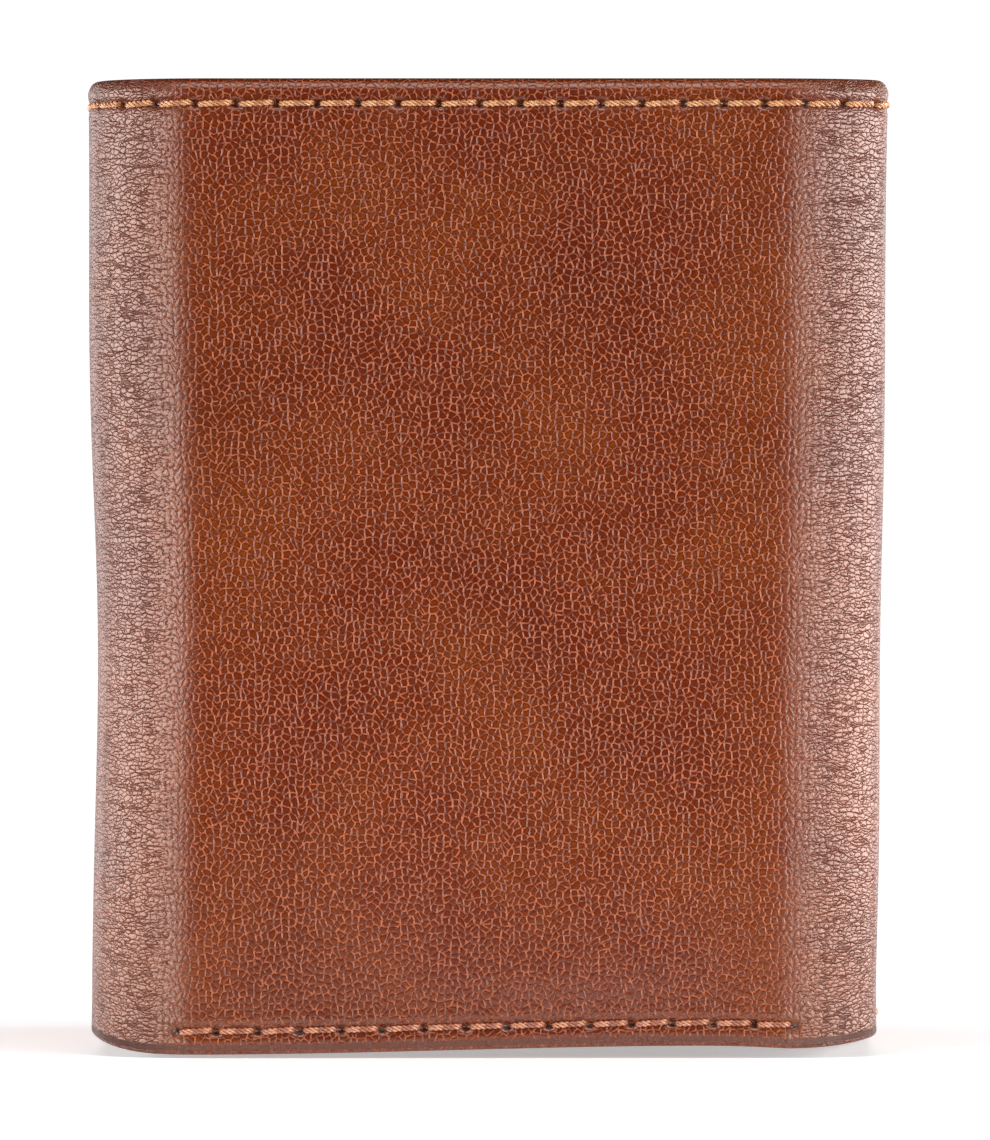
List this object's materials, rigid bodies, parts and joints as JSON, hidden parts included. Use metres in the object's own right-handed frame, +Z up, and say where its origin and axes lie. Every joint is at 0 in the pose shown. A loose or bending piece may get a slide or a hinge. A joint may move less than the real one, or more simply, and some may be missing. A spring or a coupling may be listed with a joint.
{
  "type": "trifold wallet",
  "caption": "Leather trifold wallet that folds in a C, with a bill compartment, card slots on both flaps and a clear window in the middle.",
  "frame": {"origin": "middle of the bottom of the half-open wallet, on the surface it stands on", "axes": "+Z up from the sewn bottom edge to the top hem; -Y out of the back of the centre panel; +Y the way both flaps point at rest; the outer flap is on the -X side"},
  "size_m": [0.088, 0.099, 0.108],
  "materials": {
    "outer_leather": "pebbled, semi-gloss",
    "inner_leather": "fine grain, satin",
    "lining_fabric": "plain weave",
    "board": "bonded fibre board, matte",
    "thread": "twisted waxed thread",
    "clear_sheet": "clear, glossy"
  },
  "bodies": {
    "centre_panel": {"centre_board": "board", "centre_bottom_thread": "thread", "centre_cover": "outer_leather", "centre_divider": "inner_leather", "centre_lining": "lining_fabric", "centre_slip_pocket": "inner_leather", "centre_top_thread": "thread", "id_frame_thread": "thread", "id_window": "clear_sheet", "id_window_frame": "inner_leather"},
    "outer_fold_1": {"outer_fold_1_divider": "inner_leather", "outer_fold_1_leather": "outer_leather", "outer_fold_1_lining": "lining_fabric", "outer_fold_1_thread": "thread"},
    "outer_fold_2": {"outer_fold_2_divider": "inner_leather", "outer_fold_2_leather": "outer_leather", "outer_fold_2_lining": "lining_fabric", "outer_fold_2_thread": "thread"},
    "outer_fold_3": {"outer_fold_3_divider": "inner_leather", "outer_fold_3_leather": "outer_leather", "outer_fold_3_lining": "lining_fabric", "outer_fold_3_thread": "thread"},
    "outer_flap": {"outer_flap_board": "board", "outer_flap_bottom_thread": "thread", "outer_flap_card_slot_1": "inner_leather", "outer_flap_card_slot_2": "inner_leather", "outer_flap_card_slot_3": "inner_leather", "outer_flap_cover": "outer_leather", "outer_flap_divider": "inner_leather", "outer_flap_edge_thread": "thread", "outer_flap_lining": "lining_fabric", "outer_flap_pocket_thread": "thread", "outer_flap_slip_pocket": "inner_leather", "outer_flap_top_thread": "thread"},
    "inner_fold_1": {"inner_fold_1_divider": "inner_leather", "inner_fold_1_leather": "outer_leather", "inner_fold_1_lining": "lining_fabric", "inner_fold_1_thread": "thread"},
    "inner_fold_2": {"inner_fold_2_divider": "inner_leather", "inner_fold_2_leather": "outer_leather", "inner_fold_2_lining": "lining_fabric", "inner_fold_2_thread": "thread"},
    "inner_fold_3": {"inner_fold_3_divider": "inner_leather", "inner_fold_3_leather": "outer_leather", "inner_fold_3_lining": "lining_fabric", "inner_fold_3_thread": "thread"},
    "inner_flap": {"inner_flap_board": "board", "inner_flap_bottom_thread": "thread", "inner_flap_card_slot_1": "inner_leather", "inner_flap_card_slot_2": "inner_leather", "inner_flap_card_slot_3": "inner_leather", "inner_flap_cover": "outer_leather", "inner_flap_divider": "inner_leather", "inner_flap_edge_thread": "thread", "inner_flap_lining": "lining_fabric", "inner_flap_pocket_thread": "thread", "inner_flap_slip_pocket": "inner_leather", "inner_flap_top_thread": "thread"}
  },
  "joints": [
    {"name": "outer_rear_crease", "type": "hinge", "parent": "centre_panel", "child": "outer_fold_1", "pos_m": [-0.03703, -0.04946, 0.054], "axis": [0, 0, 1], "range_deg": [0, 45]},
    {"name": "outer_rear_crease_2", "type": "hinge", "parent": "outer_fold_1", "child": "outer_fold_2", "pos_m": [-0.044, -0.04249, 0.054], "axis": [0, 0, 1], "range_deg": [0, 45]},
    {"name": "outer_front_crease_2", "type": "hinge", "parent": "outer_fold_2", "child": "outer_fold_3", "pos_m": [-0.044, -0.03263, 0.054], "axis": [0, 0, 1], "range_deg": [-45, 0]},
    {"name": "outer_front_crease", "type": "hinge", "parent": "outer_fold_3", "child": "outer_flap", "pos_m": [-0.044, -0.02277, 0.054], "axis": [0, 0, 1], "range_deg": [-45, 0]},
    {"name": "inner_rear_crease", "type": "hinge", "parent": "centre_panel", "child": "inner_fold_1", "pos_m": [0.03961, -0.04946, 0.054], "axis": [0, 0, -1], "range_deg": [0, 45]},
    {"name": "inner_rear_crease_2", "type": "hinge", "parent": "inner_fold_1", "child": "inner_fold_2", "pos_m": [0.044, -0.04506, 0.054], "axis": [0, 0, -1], "range_deg": [0, 45]},
    {"name": "inner_front_crease_2", "type": "hinge", "parent": "inner_fold_2", "child": "inner_fold_3", "pos_m": [0.044, -0.03885, 0.054], "axis": [0, 0, -1], "range_deg": [-45, 0]},
    {"name": "inner_front_crease", "type": "hinge", "parent": "inner_fold_3", "child": "inner_flap", "pos_m": [0.044, -0.03264, 0.054], "axis": [0, 0, -1], "range_deg": [-45, 0]}
  ],
  "couplings": [
    {"joint": "outer_rear_crease_2", "follows": "outer_rear_crease", "ratio": 1},
    {"joint": "outer_front_crease_2", "follows": "outer_front_crease", "ratio": 1},
    {"joint": "inner_rear_crease_2", "follows": "inner_rear_crease", "ratio": 1},
    {"joint": "inner_front_crease_2", "follows": "inner_front_crease", "ratio": 1}
  ]
}
